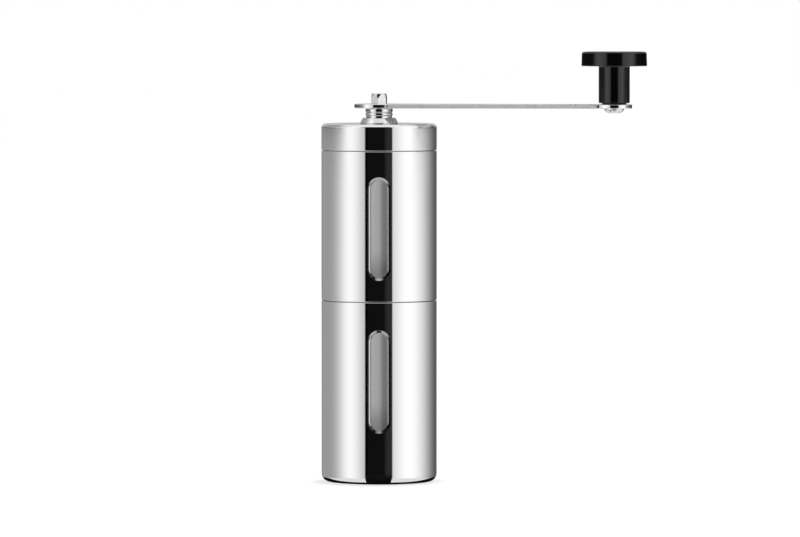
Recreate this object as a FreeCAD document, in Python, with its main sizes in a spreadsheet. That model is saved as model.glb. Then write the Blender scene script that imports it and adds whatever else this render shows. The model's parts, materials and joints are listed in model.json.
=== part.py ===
import FreeCAD, Part
import math
import os
import re
import Sketcher

# Manual coffee grinder: a round steel canister in three sections, a crank on top and
# conical ceramic burrs inside. The origin is the centre of the flat bottom, +Z points
# up the drive shaft, the two windows face -Y and the crank points towards +X.
# Sizes are in millimetres, heights are measured from the bottom.

# Driving dimensions, kept in the document's spreadsheet
SIZES = {
    # Steel canister, lower and upper sections and lid
    "body_radius": 25.0,
    "shell_wall": 0.8,
    "foot_round": 2.2,
    "inner_bevel": 1.2,
    "seam_bevel": 0.25,
    "lower_top": 78.6,
    "upper_base": 78.8,
    "upper_top": 143.6,
    "lid_base": 143.8,
    "lid_top": 155.2,
    "lid_round": 2.0,
    # Windows pressed into the steel
    "slot_width": 9.85,
    "slot_length": 44.6,
    "slot_rim": 1.08,
    "slot_sink": 0.46,
    "lower_slot_centre": 44.5,
    "upper_slot_centre": 110.3,
    # Frosted liners: powder cup below, bean hopper above
    "liner_gap": 0.1,
    "cup_radius": 22.45,
    "cup_floor": 2.4,
    "cup_top": 78.4,
    "hopper_radius": 21.9,
    "hopper_top": 143.2,
    "socket_radius": 22.5,
    # Burr holder
    "skirt_radius": 22.2,
    "skirt_base": 64.5,
    "shoulder_base": 79.2,
    "shoulder_top": 85.0,
    "throat_radius": 12.9,
    "throat_lip": 0.8,
    "hub_radius": 5.6,
    "hub_base": 88.5,
    "hub_top": 95.5,
    "rib_width": 3.0,
    "rib_count": 3,
    "rib_root": 4.3,
    "rib_root_top": 94.0,
    "rib_foot": 13.9,
    "rib_knee": 17.5,
    "rib_knee_height": 82.0,
    "rib_outer": 21.7,
    "rib_outer_base": 84.0,
    "rib_outer_top": 88.5,
    "joint_seal_base": 72.1,
    # Outer burr and the ring that holds it
    "ring_radius": 18.5,
    "ring_gap": 0.2,
    "ring_base": 65.1,
    "ring_top": 80.0,
    "ring_lug": 0.9,
    "lug_width": 4.0,
    "lug_height": 4.0,
    "lug_play": 0.15,
    "retainer_base": 63.4,
    "retainer_bore": 16.0,
    "screw_circle": 20.4,
    "screw_radius": 1.0,
    "screw_head": 1.8,
    "screw_head_height": 1.2,
    "screw_length": 7.0,
    # Inner burr, its core and the grind adjustment
    "cone_base": 65.6,
    "cone_waist": 70.6,
    "cone_top": 81.0,
    "cone_bore": 5.2,
    "big_teeth": 7,
    "small_teeth": 4,
    "core_radius": 5.1,
    "core_flange": 11.0,
    "core_base": 64.0,
    "core_top": 79.6,
    "key_across": 4.8,
    "key_play": 0.05,
    "nut_base": 58.2,
    "nut_top": 63.6,
    "nut_radius": 12.0,
    "nut_neck": 9.0,
    "nut_bevel": 1.2,
    "nut_shoulder": 62.0,
    "nut_washer_radius": 5.7,
    "lobe_count": 8,
    "lobe_radius": 3.4,
    "lobe_circle": 14.1,
    "insert_radius": 4.0,
    # Drive shaft
    "shaft_radius": 3.0,
    "shaft_bottom": 56.5,
    "thread_radius": 2.4,
    "thread_top": 66.0,
    "thread_play": 0.07,
    "key_top": 84.0,
    "clip_groove": 2.4,
    "clip_base": 97.1,
    "clip_thickness": 0.8,
    "clip_radius": 4.4,
    "thrust_radius": 5.5,
    "collar_radius": 3.6,
    "collar_base": 160.4,
    "collar_slope": 0.6,
    "collar_top": 161.85,
    "drive_across": 6.5,
    "drive_top": 168.2,
    "drive_round": 2.3,
    "drive_nose": 0.2,
    "running_gap": 0.05,
    # Bushes, washers and the spring
    "bush_radius": 4.0,
    "bush_flange": 5.2,
    "bush_lip": 0.8,
    "bridge_base": 135.0,
    "bridge_top": 139.5,
    "bridge_outer": 22.4,
    "bridge_inner": 20.4,
    "bridge_hub": 6.2,
    "bridge_hub_base": 134.5,
    "spoke_base": 135.5,
    "spoke_outer": 20.9,
    "spoke_outer_base": 136.5,
    "spring_radius": 4.0,
    "spring_wire": 0.9,
    "spring_turns": 3,
    "spring_play": 0.1,
    "washer_thickness": 0.5,
    # Lid insert, seals and the turned fittings in the lid's centre
    "plug_skirt": 22.2,
    "plug_inner": 20.4,
    "plug_base": 140.4,
    "plug_seat": 143.25,
    "plug_floor": 152.6,
    "plug_hole": 6.3,
    "lid_seal_top": 142.55,
    "seal_depth": 0.9,
    "seal_height": 1.6,
    "seal_squeeze": 0.12,
    "lid_hole": 5.9,
    "flange_radius": 8.4,
    "flange_shoulder": 7.2,
    "flange_top": 157.7,
    "collar_tube": 5.8,
    "collar_tube_base": 151.6,
    "collar_bore": 5.0,
    "nut_ring": 8.5,
    "nut_ring_height": 0.8,
    "collar_bevel": 0.45,
    "neck_radius": 5.6,
    "neck_top": 158.55,
    "bead_radius": 5.9,
    "bead_top": 160.05,
    "bead_bevel": 0.2,
    "cap_base": 160.3,
    "cap_top": 161.6,
    "stem_radius": 4.95,
    "stem_base": 150.2,
    "stem_groove": 4.6,
    "groove_base": 150.8,
    "guide_bore": 3.9,
    # Crank
    "crank_yaw": -7.0,
    "arm_base": 161.9,
    "arm_thickness": 1.8,
    "arm_hub": 10.7,
    "arm_reach": 102.2,
    "arm_tip": 7.7,
    "arm_root_half": 9.4,
    "arm_tip_half": 6.0,
    "arm_bevel": 0.45,
    "arm_blend": 9.0,
    "drive_play": 0.05,
    "press_play": 0.03,
    # Knob
    "spindle_radius": 2.5,
    "head_base": 159.9,
    "head_face": 2.2,
    "head_shoulder": 3.7,
    "head_shoulder_height": 160.5,
    "head_rim": 4.3,
    "head_rim_height": 161.55,
    "spindle_top": 182.6,
    "spindle_groove": 2.0,
    "knob_washer": 5.2,
    "knob_base": 164.2,
    "knob_stem": 6.7,
    "knob_flare": 180.2,
    "knob_rim": 14.15,
    "knob_face": 13.95,
    "knob_top": 186.45,
    "knob_round": 0.8,
    "knob_bevel": 0.45,
    "knob_bore": 2.56,
    "knob_pocket": 5.0,
    "knob_pocket_base": 181.0,
    "knob_clip": 4.2,
    "knob_clip_base": 181.1,
    "knob_clip_top": 181.7,
    "knob_plug_base": 183.6,
    # How far a cutting shape reaches past what it cuts
    "overshoot": 1.0,
}

# Two places closer than this count as one
NEAR = 1e-4
NO_TURN = FreeCAD.Rotation()
UP = FreeCAD.Vector(0, 0, 1)

doc = FreeCAD.newDocument("coffee_grinder")
sheet = doc.addObject("Spreadsheet::Sheet", "Sizes")
for row, (alias, number) in enumerate(SIZES.items(), 1):
    sheet.set("A%d" % row, str(number))
    sheet.setAlias("A%d" % row, alias)
doc.recompute()


# Helpers that draw, cut and soften
def size(alias):
    """A driving dimension as a number."""
    return float(sheet.get(alias))


def formula(words):
    """Turn words such as 'body_radius - shell_wall' into an expression on the sheet."""
    return re.sub(r"\b([a-z]\w*)\b(?!\()", r"Sizes.\1", str(words))


def bind(thing, name, words):
    thing.setExpression(name, formula(words))


def origin_plane(body, role):
    return next(part for part in body.Origin.OriginFeatures if part.Role == role)


def new_sketch(body, name, role, offset="0"):
    """A sketch on one of the body's own planes, moved off it by offset."""
    sketch = body.newObject("Sketcher::SketchObject", name)
    sketch.AttachmentSupport = [(origin_plane(body, role), "")]
    sketch.MapMode = "FlatFace"
    bind(sketch, "AttachmentOffset.Base.z", offset)
    return sketch


def hold(sketch, geometry, point, across, up):
    """Pin one point of a sketch at two distances from the origin, both formulas."""
    for kind, axis, words in (("DistanceX", -2, across), ("DistanceY", -1, up)):
        if words == "0":
            sketch.addConstraint(Sketcher.Constraint("PointOnObject", geometry, point, axis))
        else:
            rule = Sketcher.Constraint(kind, -1, 1, geometry, point, 10.0 + geometry)
            bind(sketch, "Constraints[%d]" % sketch.addConstraint(rule), words)


def draw_outline(sketch, corners):
    """A closed outline of straight lines through corners, each a pair of formulas."""
    count = len(corners)
    start = sketch.GeometryCount
    angles = [2 * math.pi * step / count for step in range(count + 1)]
    rough = [FreeCAD.Vector(math.cos(angle), math.sin(angle), 0) * 10 for angle in angles]
    for here, there in zip(rough, rough[1:]):
        sketch.addGeometry(Part.LineSegment(here, there), False)
    for step, (across, up) in enumerate(corners):
        line, following = start + step, start + (step + 1) % count
        sketch.addConstraint(Sketcher.Constraint("Coincident", line, 2, following, 1))
        hold(sketch, line, 1, across, up)


def draw_circle(sketch, radius, across="0", up="0"):
    circle = sketch.addGeometry(Part.Circle(FreeCAD.Vector(1, 1, 0), UP, 3), False)
    hold(sketch, circle, 3, across, up)
    rule = Sketcher.Constraint("Radius", circle, 3)
    bind(sketch, "Constraints[%d]" % sketch.addConstraint(rule), radius)


def draw_stadium(sketch, width, length, centre):
    """An upright slot with round ends, centred on the sketch's vertical axis."""
    middle, reach, radius = 30, 10, 4
    for height, first in ((middle + reach, 0), (middle - reach, math.pi)):
        circle = Part.Circle(FreeCAD.Vector(0, height, 0), UP, radius)
        arc = Part.ArcOfCircle(circle, first, first + math.pi)
        sketch.addGeometry(arc, False)
        side = radius if first else -radius
        low, high = sorted((height, 2 * middle - height), reverse=not first)
        line = Part.LineSegment(FreeCAD.Vector(side, low, 0), FreeCAD.Vector(side, high, 0))
        sketch.addGeometry(line, False)
    for piece in range(4):
        sketch.addConstraint(Sketcher.Constraint("Tangent", piece, 2, (piece + 1) % 4, 1))
    sketch.addConstraint(Sketcher.Constraint("Equal", 0, 2))
    rule = Sketcher.Constraint("Radius", 0, radius)
    bind(sketch, "Constraints[%d]" % sketch.addConstraint(rule), "(%s) / 2" % width)
    offset = "((%s) - (%s)) / 2" % (length, width)
    hold(sketch, 0, 3, "0", "%s + %s" % (centre, offset))
    hold(sketch, 2, 3, "0", "%s - %s" % (centre, offset))


def turned(name, corners):
    """A body turned about the vertical axis from corners of radius and height."""
    body = doc.addObject("PartDesign::Body", name)
    sketch = new_sketch(body, name + "_profile", "XZ_Plane")
    draw_outline(sketch, corners)
    turn = body.newObject("PartDesign::Revolution", name + "_turn")
    turn.Profile = sketch
    turn.ReferenceAxis = (sketch, ["V_Axis"])
    turn.Angle = 360
    doc.recompute()
    return body


def tube(name, inner, outer, base, top):
    """A plain ring between two radii and two heights."""
    return turned(name, [(inner, base), (outer, base), (outer, top), (inner, top)])


def pad(body, sketch, length, both_ways=False):
    feature = body.newObject("PartDesign::Pad", sketch.Name + "_pad")
    feature.Profile = sketch
    feature.Midplane = both_ways
    bind(feature, "Length", length)
    doc.recompute()
    return feature


def cut(body, sketch, depth, along_normal=True):
    """Cut a sketch into the body and make sure that material went."""
    before = body.Shape.Volume
    feature = body.newObject("PartDesign::Pocket", sketch.Name + "_cut")
    feature.Profile = sketch
    feature.Reversed = along_normal
    bind(feature, "Length", depth)
    doc.recompute()
    if not feature.Shape.Volume < before - NEAR:
        raise RuntimeError(feature.Name + " cuts nothing")
    return feature


def repeat(body, feature, count):
    """Repeat a feature evenly round the vertical axis."""
    pattern = body.newObject("PartDesign::PolarPattern", feature.Name + "_round")
    pattern.Originals = [feature]
    pattern.Axis = (origin_plane(body, "Z_Axis"), [""])
    pattern.Angle = 360
    bind(pattern, "Occurrences", count)
    body.Tip = pattern
    doc.recompute()


def edges_where(body, test):
    shape = body.Tip.Shape
    return ["Edge%d" % number for number, edge in enumerate(shape.Edges, 1) if test(edge)]


def corner_edges(body, corners):
    """The round edges that numbered corners of the body's first profile sweep out."""
    profile = body.Group[0].Geometry
    points = [profile[corner].StartPoint for corner in corners]

    def test(edge):
        if not isinstance(edge.Curve, Part.Circle):
            return False
        radius, height = edge.Curve.Radius, edge.Curve.Center.z
        return any(abs(radius - point.x) + abs(height - point.y) < NEAR for point in points)

    return edges_where(body, test)


def soften(body, kind, edges, amount):
    """Fillet or chamfer the named edges."""
    feature = body.newObject("PartDesign::" + kind, "%s_%s%d" % (body.Name, kind, len(body.Group)))
    feature.Base = (body.Group[-2], edges)
    bind(feature, "Radius" if kind == "Fillet" else "Size", amount)
    doc.recompute()
    return feature


def round_off(body, corners, radius):
    return soften(body, "Fillet", corner_edges(body, corners), radius)


def bevel(body, corners, amount):
    return soften(body, "Chamfer", corner_edges(body, corners), amount)


def window(body, centre):
    """Cut a window through the front wall and dish its outer rim."""
    sketch = new_sketch(body, body.Name + "_window", "XZ_Plane")
    draw_stadium(sketch, "slot_width - 2 * slot_rim", "slot_length - 2 * slot_rim", centre)
    cut(body, sketch, "body_radius + overshoot")
    half_width = size("slot_width") / 2

    def on_rim(edge):
        ends = edge.Vertexes
        outside = all(abs(math.hypot(end.X, end.Y) - size("body_radius")) < NEAR for end in ends)
        return outside and all(abs(end.X) < half_width and end.Y < 0 for end in ends)

    rim = soften(body, "Chamfer", edges_where(body, on_rim), "slot_rim")
    rim.ChamferType = "Two distances"
    bind(rim, "Size2", "slot_sink")
    doc.recompute()


def turn_with_crank(body, reach=0.0):
    """Turn a body to the crank's resting direction, reach out along its arm."""
    yaw = FreeCAD.Rotation(UP, size("crank_yaw"))
    body.Placement = FreeCAD.Placement(yaw.multVec(FreeCAD.Vector(reach, 0, 0)), yaw)


# Lower canister: steel cup and frosted powder cup
liner_outer = "body_radius - shell_wall - liner_gap"
shell_inner = "body_radius - shell_wall"

lower_shell = turned("lower_shell", [
    ("0", "0"),
    ("body_radius", "0"),
    ("body_radius", "lower_top"),
    (shell_inner, "lower_top"),
    (shell_inner, "shell_wall"),
    ("0", "shell_wall"),
])
round_off(lower_shell, [1], "foot_round")
bevel(lower_shell, [4], "inner_bevel")
bevel(lower_shell, [2], "seam_bevel")
window(lower_shell, "lower_slot_centre")

lower_liner = turned("lower_liner", [
    ("0", "shell_wall"),
    (liner_outer, "shell_wall"),
    (liner_outer, "cup_top"),
    ("cup_radius", "cup_top"),
    ("cup_radius", "cup_floor"),
    ("0", "cup_floor"),
])
bevel(lower_liner, [1, 4], "inner_bevel")

# Upper canister: steel sleeve and frosted bean hopper
upper_shell = turned("upper_shell", [
    (shell_inner, "upper_base"),
    ("body_radius", "upper_base"),
    ("body_radius", "upper_top"),
    (shell_inner, "upper_top"),
])
bevel(upper_shell, [1, 2], "seam_bevel")
window(upper_shell, "upper_slot_centre")

upper_liner = turned("upper_liner", [
    ("hopper_radius", "shoulder_top"),
    (liner_outer, "shoulder_top"),
    (liner_outer, "hopper_top"),
    ("socket_radius", "hopper_top"),
    ("socket_radius", "bridge_base"),
    ("hopper_radius", "bridge_base"),
])

# Burr holder: a skirt that plugs the canister sections together, a funnel and a bearing hub
burr_holder = turned("burr_holder", [
    ("skirt_radius", "skirt_base"),
    ("skirt_radius", "joint_seal_base"),
    ("skirt_radius - seal_depth", "joint_seal_base"),
    ("skirt_radius - seal_depth", "joint_seal_base + seal_height"),
    ("skirt_radius", "joint_seal_base + seal_height"),
    ("skirt_radius", "shoulder_base"),
    (liner_outer, "shoulder_base"),
    (liner_outer, "shoulder_top"),
    ("hopper_radius", "shoulder_top"),
    ("throat_radius", "ring_top + throat_lip"),
    ("throat_radius", "ring_top"),
    ("ring_radius + ring_gap", "ring_top"),
    ("ring_radius + ring_gap", "skirt_base"),
])
notch = new_sketch(burr_holder, "lug_notch", "XY_Plane", "ring_top")
draw_outline(notch, [
    ("0", "-lug_width / 2 - lug_play"),
    ("ring_radius + ring_lug + ring_gap", "-lug_width / 2 - lug_play"),
    ("ring_radius + ring_lug + ring_gap", "lug_width / 2 + lug_play"),
    ("0", "lug_width / 2 + lug_play"),
])
repeat(burr_holder, cut(burr_holder, notch, "ring_top - skirt_base + overshoot", False), "rib_count")
tapped = new_sketch(burr_holder, "screw_hole", "XY_Plane", "skirt_base")
draw_circle(tapped, "screw_radius + running_gap", "-screw_circle")
repeat(burr_holder, cut(burr_holder, tapped, "screw_length"), "rib_count")
rib = new_sketch(burr_holder, "spider_rib", "XZ_Plane")
draw_outline(rib, [
    ("rib_root", "hub_base"),
    ("rib_foot", "hub_base"),
    ("rib_knee", "rib_knee_height"),
    ("rib_outer", "rib_outer_base"),
    ("rib_outer", "rib_outer_top"),
    ("rib_root", "rib_root_top"),
])
repeat(burr_holder, pad(burr_holder, rib, "rib_width", True), "rib_count")
hub = new_sketch(burr_holder, "bearing_hub", "XY_Plane", "hub_base")
draw_circle(hub, "hub_radius")
pad(burr_holder, hub, "hub_top - hub_base")
bearing = new_sketch(burr_holder, "bearing_bore", "XY_Plane", "hub_base")
draw_circle(bearing, "bush_radius + running_gap")
cut(burr_holder, bearing, "hub_top - hub_base")

# Silicone rings that grip the two push fits: joint_seal on the holder, lid_seal on the plug
joint_seal = tube(
    "joint_seal",
    "skirt_radius - seal_depth",
    "skirt_radius + seal_squeeze",
    "joint_seal_base",
    "joint_seal_base + seal_height",
)

# Ring that screws up under the holder and keeps the outer burr in
burr_retainer = turned("burr_retainer", [
    ("retainer_bore", "retainer_base"),
    ("skirt_radius", "retainer_base"),
    ("skirt_radius", "skirt_base"),
    ("ring_radius", "skirt_base"),
    ("ring_radius", "ring_base"),
    ("retainer_bore", "ring_base"),
])
passing = new_sketch(burr_retainer, "screw_passage", "XY_Plane", "retainer_base")
draw_circle(passing, "screw_radius + 2 * running_gap", "-screw_circle")
repeat(burr_retainer, cut(burr_retainer, passing, "skirt_base - retainer_base"), "rib_count")


def retainer_screws():
    """Three pan-head screws, one node of separate solids."""
    screws = []
    for step in range(int(size("rib_count"))):
        angle = math.pi + 2 * math.pi * step / size("rib_count")
        place = FreeCAD.Vector(math.cos(angle), math.sin(angle), 0) * size("screw_circle")
        head = doc.addObject("Part::Cylinder", "screw_head_%d" % step)
        bind(head, "Radius", "screw_head")
        bind(head, "Height", "screw_head_height")
        low = UP * (size("retainer_base") - size("screw_head_height"))
        head.Placement = FreeCAD.Placement(place + low, NO_TURN)
        shank = doc.addObject("Part::Cylinder", "screw_shank_%d" % step)
        bind(shank, "Radius", "screw_radius")
        bind(shank, "Height", "screw_length")
        shank.Placement = FreeCAD.Placement(place + UP * size("retainer_base"), NO_TURN)
        screw = doc.addObject("Part::Fuse", "screw_%d" % step)
        screw.Base, screw.Tool = head, shank
        screws.append(screw)
    group = doc.addObject("Part::Compound", "retainer_screws")
    group.Links = screws
    doc.recompute()


retainer_screws()


# Conical ceramic burrs
def star_ring(height, crest, coarse, fine, turn, outwards):
    """The corners of one level of a toothed cone.

    The big teeth rise steadily and drop back, and each carries several small ones.
    coarse and fine are the depths of the two kinds of tooth, counted away from the
    crest radius. turn is in degrees.
    """
    corners_per_big = 2 * int(size("small_teeth"))
    count = int(size("big_teeth")) * corners_per_big
    side = 1 if outwards else -1
    points = []
    for corner in range(count):
        along = (corner % corners_per_big) / corners_per_big
        depth = coarse * along + fine * (corner % 2)
        angle = 2 * math.pi * corner / count + math.radians(turn)
        radius = crest + side * depth
        points.append(FreeCAD.Vector(radius * math.cos(angle), radius * math.sin(angle), height))
    return points


def outward(solid):
    """The solid with its faces pointing out."""
    if solid.Volume < 0:
        solid.reverse()
    return solid


def toothed_cone(levels, outwards=False):
    """A solid between star rings: flat triangles join each ring to the next."""
    rings = [star_ring(*level, outwards) for level in levels]
    faces = [Part.Face(Part.makePolygon(ring + ring[:1])) for ring in (rings[0], rings[-1])]
    for low, high in zip(rings, rings[1:]):
        for corner, here in enumerate(low):
            after = (corner + 1) % len(low)
            for triangle in ((here, low[after], high[after]), (here, high[after], high[corner])):
                faces.append(Part.Face(Part.makePolygon(triangle + triangle[:1])))
    shell = Part.Shell(faces)
    shell.sewShape()
    return outward(Part.Solid(shell))


def shape_node(name, shape):
    node = doc.addObject("Part::Feature", name)
    node.Shape = shape
    return node


# Each level: height, crest radius, depth of big teeth, depth of small teeth, turn
inner_levels = [
    (size("cone_base"), 14.0, 0.1, 0.75, 0),
    (size("cone_base") + 2.5, 13.6, 0.25, 0.8, 9),
    (size("cone_waist"), 13.0, 1.4, 0.45, 18),
    (size("cone_waist") + 3.2, 11.3, 2.9, 0.2, 29),
    (size("cone_waist") + 6.6, 9.5, 2.5, 0.0, 41),
    (size("cone_top"), 7.4, 1.2, 0.0, 54),
]
bore_base = size("cone_base") - size("overshoot")
bore_length = size("cone_top") - size("cone_base") + 2 * size("overshoot")
bore = Part.makeCylinder(size("cone_bore"), bore_length, UP * bore_base)
inner_burr = shape_node("inner_burr", toothed_cone(inner_levels).cut(bore))

outer_levels = [
    (size("ring_base") - 0.5, 14.4, 0.05, 0.6, 0),
    (size("cone_base") + 2.5, 13.95, 0.2, 0.7, -5),
    (size("cone_waist"), 13.45, 1.3, 0.4, -9),
    (size("cone_waist") + 4.5, 13.1, 2.6, 0.1, -16),
    (size("ring_top") + 0.5, 12.8, 3.2, 0.0, -24),
]


def outer_burr_shape():
    """A plain ring with three lugs, less the toothed cavity."""
    height = size("ring_top") - size("ring_base")
    ring = Part.makeCylinder(size("ring_radius"), height, UP * size("ring_base"))
    wide, tall = size("lug_width"), size("lug_height")
    reach = size("ring_radius") + size("ring_lug")
    for step in range(int(size("rib_count"))):
        corner = FreeCAD.Vector(0, -wide / 2, size("ring_top") - tall)
        lug = Part.makeBox(reach, wide, tall, corner)
        lug.rotate(FreeCAD.Vector(), UP, 360 * step / size("rib_count"))
        ring = ring.fuse(lug)
    return ring.removeSplitter().cut(toothed_cone(outer_levels, True))


outer_burr = shape_node("outer_burr", outer_burr_shape())


def keyed_cut(body, base, depth):
    """Cut a bore for the shaft with two flats that turn the piece with it."""
    sketch = new_sketch(body, body.Name + "_key", "XY_Plane", base)
    across, round_part = "key_across / 2 + key_play", "shaft_radius + key_play"
    flat = size("key_across") / 2 + size("key_play")
    radius = size("shaft_radius") + size("key_play")
    reach = math.acos(flat / radius)
    circle = Part.Circle(FreeCAD.Vector(), UP, radius)
    sides = [reach, math.pi - reach, math.pi + reach, 2 * math.pi - reach]
    corners = [FreeCAD.Vector(math.cos(side), math.sin(side), 0) * radius for side in sides]
    sketch.addGeometry(Part.ArcOfCircle(circle, sides[0], sides[1]), False)
    sketch.addGeometry(Part.LineSegment(corners[1], corners[2]), False)
    sketch.addGeometry(Part.ArcOfCircle(circle, sides[2], sides[3]), False)
    sketch.addGeometry(Part.LineSegment(corners[3], corners[0]), False)
    for piece in range(4):
        sketch.addConstraint(Sketcher.Constraint("Coincident", piece, 2, (piece + 1) % 4, 1))
    for arc in (0, 2):
        sketch.addConstraint(Sketcher.Constraint("Coincident", arc, 3, -1, 1))
    rule = Sketcher.Constraint("Radius", 0, radius)
    bind(sketch, "Constraints[%d]" % sketch.addConstraint(rule), round_part)
    for line, side in ((3, ""), (1, "-")):
        sketch.addConstraint(Sketcher.Constraint("Vertical", line))
        rule = Sketcher.Constraint("DistanceX", -1, 1, line, 1, corners[line].x)
        bind(sketch, "Constraints[%d]" % sketch.addConstraint(rule), "%s(%s)" % (side, across))
    cut(body, sketch, depth)


# Drive core that carries the inner burr
burr_core = turned("burr_core", [
    ("0", "core_base"),
    ("core_flange", "core_base"),
    ("core_flange", "cone_base"),
    ("core_radius", "cone_base"),
    ("core_radius", "core_top"),
    ("0", "core_top"),
])
keyed_cut(burr_core, "core_base", "core_top - core_base")
turn_with_crank(burr_core)

nut_washer = tube(
    "nut_washer", "shaft_radius + 2 * running_gap", "nut_washer_radius", "nut_top", "core_base"
)

# Adjustment nut: a scalloped dial with a brass thread insert
adjust_nut = turned("adjust_nut", [
    ("insert_radius + running_gap", "nut_base"),
    ("nut_radius - nut_bevel", "nut_base"),
    ("nut_radius", "nut_base + nut_bevel"),
    ("nut_radius", "nut_shoulder"),
    ("nut_neck", "nut_top"),
    ("insert_radius + running_gap", "nut_top"),
])
scallop = new_sketch(adjust_nut, "nut_scallop", "XY_Plane", "nut_base")
draw_circle(scallop, "lobe_radius", "lobe_circle")
repeat(adjust_nut, cut(adjust_nut, scallop, "nut_top - nut_base"), "lobe_count")

nut_insert = tube(
    "nut_insert", "thread_radius + thread_play", "insert_radius", "nut_base", "nut_top"
)

# Drive shaft: thread and flats below, a hexagon with turned-down corners on top
hex_corner = "drive_across / sqrt(3)"
hex_stock = hex_corner + " + running_gap / 5"
drive_shaft = turned("drive_shaft", [
    ("0", "shaft_bottom"),
    ("thread_radius", "shaft_bottom"),
    ("thread_radius", "thread_top"),
    ("shaft_radius", "thread_top"),
    ("shaft_radius", "clip_base"),
    ("clip_groove", "clip_base"),
    ("clip_groove", "clip_base + clip_thickness"),
    ("shaft_radius", "clip_base + clip_thickness"),
    ("shaft_radius", "collar_base"),
    ("collar_radius", "collar_base + collar_slope"),
    ("collar_radius", "collar_top"),
    (hex_stock, "collar_top"),
    (hex_stock, "drive_top - drive_round"),
    ("shaft_radius + drive_nose", "drive_top - drive_nose"),
    ("shaft_radius", "drive_top"),
    ("0", "drive_top"),
])
flats = new_sketch(drive_shaft, "shaft_flats", "XY_Plane", "thread_top")
beyond = "shaft_radius + overshoot"
for first, second in (("key_across / 2", beyond), ("-(%s)" % beyond, "-key_across / 2")):
    corners = [(first, "-shaft_radius"), (second, "-shaft_radius")]
    draw_outline(flats, corners + [(second, "shaft_radius"), (first, "shaft_radius")])
cut(drive_shaft, flats, "key_top - thread_top")
hexagon = new_sketch(drive_shaft, "drive_hexagon", "XY_Plane", "collar_top")
draw_circle(hexagon, "collar_radius + 2 * overshoot")
flat_side = [("drive_across / 2", sign + "drive_across / sqrt(12)") for sign in ("-", "")]
other_side = [("-drive_across / 2", sign + "drive_across / sqrt(12)") for sign in ("", "-")]
hex_corners = flat_side + [("0", hex_corner)] + other_side + [("0", "-" + hex_corner)]
draw_outline(hexagon, hex_corners)
cut(drive_shaft, hexagon, "drive_top - collar_top")
turn_with_crank(drive_shaft)

# Shaft bearings: flanged bushes, thrust washer, spring clip and the spring's seat
bush_bore = "shaft_radius + running_gap"
lower_bush = turned("lower_bush", [
    (bush_bore, "hub_base"),
    ("bush_radius", "hub_base"),
    ("bush_radius", "hub_top"),
    ("bush_flange", "hub_top"),
    ("bush_flange", "hub_top + bush_lip"),
    (bush_bore, "hub_top + bush_lip"),
])
thrust_washer = tube(
    "thrust_washer",
    "shaft_radius + 2 * running_gap",
    "thrust_radius",
    "clip_base - 2 * running_gap - washer_thickness",
    "clip_base - running_gap",
)
shaft_clip = tube(
    "shaft_clip",
    "clip_groove",
    "clip_radius",
    "clip_base",
    "clip_base + clip_thickness",
)
spring_seat = tube(
    "spring_seat",
    "shaft_radius + 2 * running_gap",
    "bush_flange",
    "hub_base - running_gap - washer_thickness",
    "hub_base - running_gap",
)

# Bridge across the top of the hopper, which holds the upper bush
shaft_bridge = tube(
    "shaft_bridge", "bridge_inner", "bridge_outer", "bridge_base", "bridge_top"
)
spoke = new_sketch(shaft_bridge, "bridge_spoke", "XZ_Plane")
draw_outline(spoke, [
    ("rib_root", "spoke_base"),
    ("spoke_outer", "spoke_outer_base"),
    ("spoke_outer", "bridge_top"),
    ("rib_root", "bridge_top"),
])
repeat(shaft_bridge, pad(shaft_bridge, spoke, "rib_width", True), "rib_count")
bridge_hub = new_sketch(shaft_bridge, "bridge_hub", "XY_Plane", "bridge_hub_base")
draw_circle(bridge_hub, "bridge_hub")
pad(shaft_bridge, bridge_hub, "bridge_top - bridge_hub_base")
bridge_bore = new_sketch(shaft_bridge, "bridge_bore", "XY_Plane", "bridge_hub_base")
draw_circle(bridge_bore, "bush_radius + running_gap")
cut(shaft_bridge, bridge_bore, "bridge_top - bridge_hub_base")

upper_bush = turned("upper_bush", [
    (bush_bore, "bridge_hub_base"),
    ("bush_radius", "bridge_hub_base"),
    ("bush_radius", "bridge_top"),
    ("bush_flange", "bridge_top"),
    ("bush_flange", "bridge_top + bush_lip"),
    (bush_bore, "bridge_top + bush_lip"),
])

# Lid: steel cap over a plastic plug with a silicone ring
lid_shell = turned("lid_shell", [
    (shell_inner, "lid_base"),
    ("body_radius", "lid_base"),
    ("body_radius", "lid_top"),
    ("lid_hole", "lid_top"),
    ("lid_hole", "lid_top - shell_wall"),
    (shell_inner, "lid_top - shell_wall"),
])
round_off(lid_shell, [2], "lid_round")
bevel(lid_shell, [5], "inner_bevel")
bevel(lid_shell, [1], "seam_bevel")

lid_insert = turned("lid_insert", [
    ("plug_hole", "plug_floor"),
    ("plug_inner", "plug_floor"),
    ("plug_inner", "plug_base"),
    ("plug_skirt", "plug_base"),
    ("plug_skirt", "lid_seal_top - seal_height"),
    ("plug_skirt - seal_depth", "lid_seal_top - seal_height"),
    ("plug_skirt - seal_depth", "lid_seal_top"),
    ("plug_skirt", "lid_seal_top"),
    ("plug_skirt", "plug_seat"),
    (liner_outer, "plug_seat"),
    (liner_outer, "lid_top - shell_wall"),
    ("plug_hole", "lid_top - shell_wall"),
])
bevel(lid_insert, [10], "inner_bevel")

lid_seal = tube(
    "lid_seal",
    "plug_skirt - seal_depth",
    "plug_skirt + seal_squeeze",
    "lid_seal_top - seal_height",
    "lid_seal_top",
)

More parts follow.
